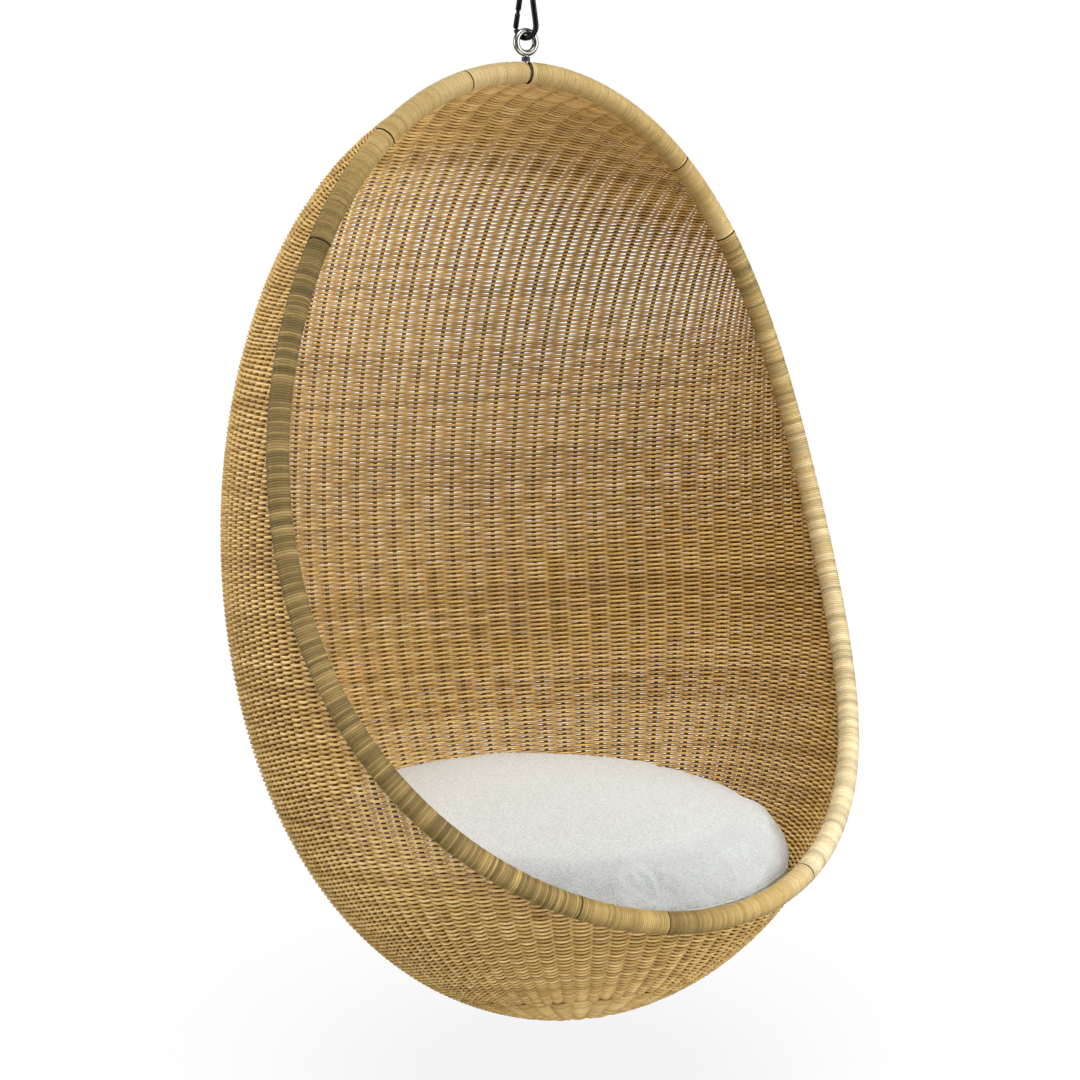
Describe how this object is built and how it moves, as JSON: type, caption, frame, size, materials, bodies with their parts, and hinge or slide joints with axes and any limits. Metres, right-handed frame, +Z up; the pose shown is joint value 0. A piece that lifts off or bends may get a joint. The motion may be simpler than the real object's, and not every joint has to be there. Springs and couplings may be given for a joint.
{
  "type": "hanging egg chair",
  "caption": "Hanging pod chair: a woven rattan egg with a cane-wrapped rim round its opening, a loose round seat cushion, and an eye bolt on a steel spring hook.",
  "frame": {"origin": "the inner top of the spring hook, where the ceiling's eye or chain bears", "axes": "+Z up along the hanging line, the chair faces -Y, +X to the right as one looks into the chair"},
  "size_m": [0.869, 0.7474, 1.2981],
  "materials": {
    "rattan_pole": "satin",
    "woven_rattan": "satin",
    "fine_cane": "satin",
    "banded_cane": "satin",
    "dowel_wood": "matte",
    "cushion_cloth": "matte",
    "cushion_fill": "matte",
    "polished_steel": "polished",
    "dark_steel": "satin",
    "black_steel": "satin"
  },
  "bodies": {
    "hook": {"hook_body": "black_steel", "hook_gate_pin": "dark_steel"},
    "gate": {"hook_gate": "black_steel", "hook_gate_spring": "dark_steel"},
    "eye": {"eye_bolt": "polished_steel", "eye_collar": "dark_steel", "eye_washer": "dark_steel", "eye_nut": "dark_steel"},
    "chair": {"rim_hoop": "rattan_pole", "scarf_dowel_left": "dowel_wood", "scarf_dowel_right": "dowel_wood", "binding_top_right": "fine_cane", "binding_shoulder_right": "fine_cane", "binding_front_right": "fine_cane", "binding_front_left": "fine_cane", "binding_shoulder_left": "fine_cane", "binding_arch_left": "fine_cane", "binding_top_left": "fine_cane", "binding_side_right": "banded_cane", "binding_side_left": "banded_cane", "woven_wall": "woven_rattan", "woven_bowl": "woven_rattan"},
    "cushion": {"cushion_cover": "cushion_cloth", "cushion_filling": "cushion_fill", "cushion_zip": "cushion_cloth"}
  },
  "joints": [
    {"name": "gate_hinge", "type": "hinge", "parent": "hook", "child": "gate", "pos_m": [-0.00439, 0.01144, -0.03], "axis": [-0.9336, -0.3584, 0], "range_deg": [0, 28], "stiffness_Nm_per_rad": 0.05, "springref_deg": -11.46},
    {"name": "eye_swing", "type": "hinge", "parent": "hook", "child": "eye", "pos_m": [0, 0, -0.0514], "axis": [0.9848, -0.1736, 0], "range_deg": [-20, 20]},
    {"name": "chair_turn", "type": "hinge", "parent": "eye", "child": "chair", "pos_m": [0, -0.00055, -0.0882], "axis": [0, 0.0148, 0.9999], "continuous": true},
    {"name": "cushion_lift", "type": "slide", "parent": "chair", "child": "cushion", "axis": [0, 0, 1], "range_m": [0, 0.12]}
  ]
}
